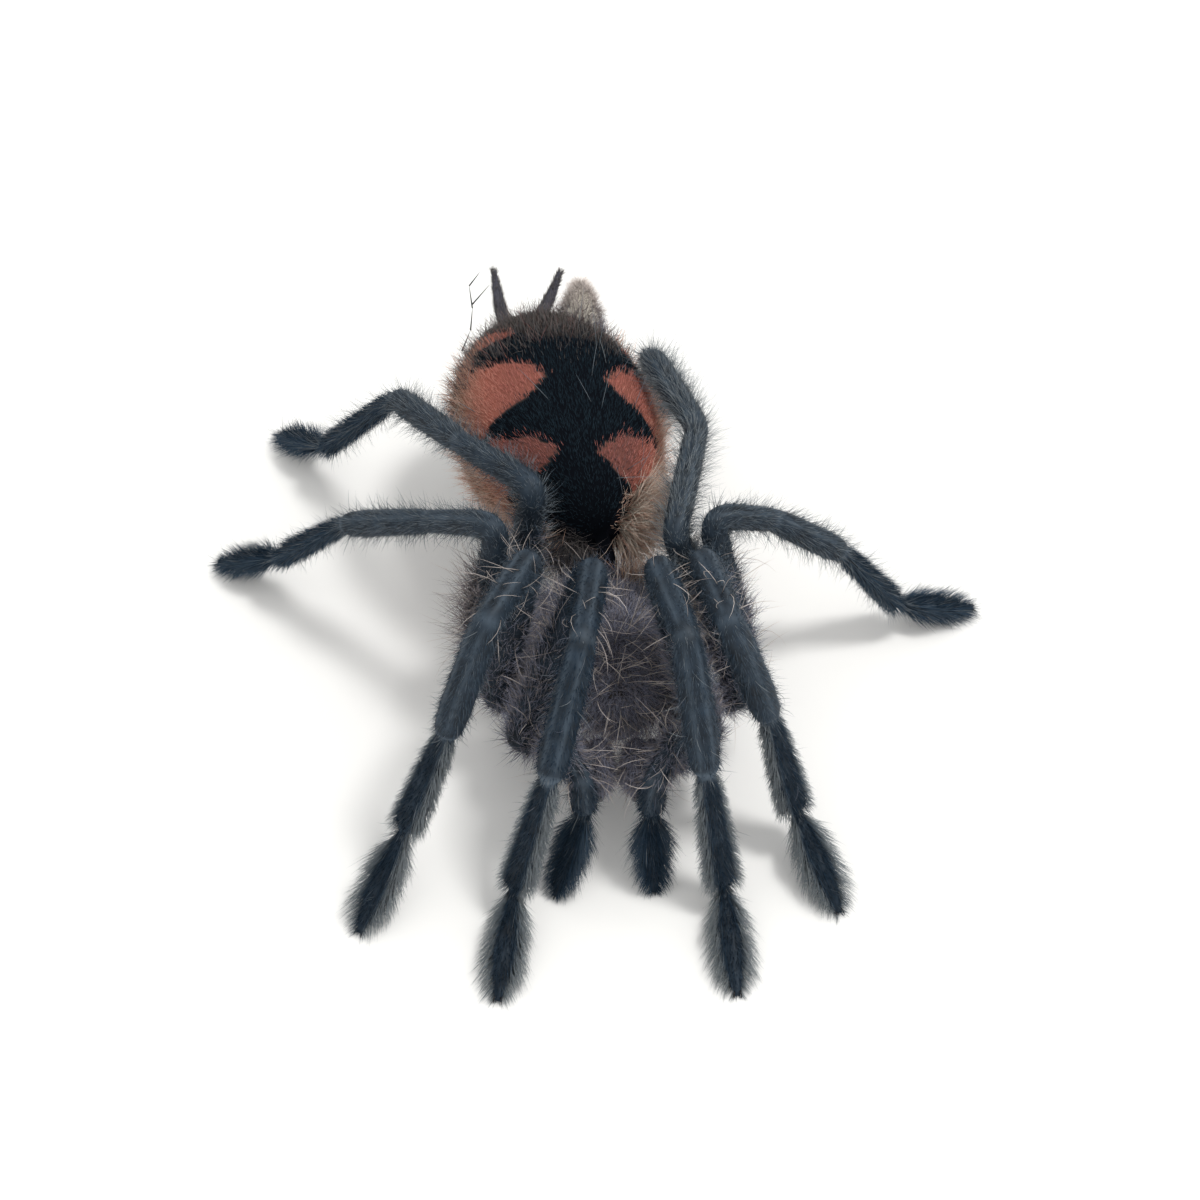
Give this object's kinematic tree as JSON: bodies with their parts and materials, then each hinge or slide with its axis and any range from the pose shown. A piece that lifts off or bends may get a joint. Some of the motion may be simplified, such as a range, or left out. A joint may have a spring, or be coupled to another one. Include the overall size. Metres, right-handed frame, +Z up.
{
  "type": "mounted tarantula specimen",
  "caption": "Dried tarantula standing on its feet, knees drawn up over a hairy carapace, round abdomen with a dark branching pattern on orange.",
  "frame": {"origin": "on the ground plane, under the middle of the footprint of the whole animal", "axes": "+Z up, -Y the way the head points, +X the animal's left"},
  "size_m": [0.0444, 0.0434, 0.0161],
  "materials": {
    "shell": "dry brown-black cuticle under a coat of brown hair and long pale bristles",
    "leg": "slate blue-black cuticle with a dense short grey-blue coat, pale at the joints",
    "abdomen": "velvety pile, near black in a branching pattern on salmon orange, buff at the sides",
    "fang": "glossy black-brown horn",
    "spinneret": "dull grey-brown with short hairs"
  },
  "bodies": {
    "root": {"carapace": "shell", "sternum": "shell", "abdomen": "abdomen", "leg_1_left": "leg", "leg_1_right": "leg", "leg_2_left": "leg", "leg_2_right": "leg", "leg_3_left": "leg", "leg_3_right": "leg", "leg_4_left": "leg", "leg_4_right": "leg", "palp_left": "leg", "palp_right": "leg", "chelicera_left": "shell", "chelicera_right": "shell", "fang_left": "fang", "fang_right": "fang", "spinneret_left": "spinneret", "spinneret_right": "spinneret"}
  },
  "joints": []
}
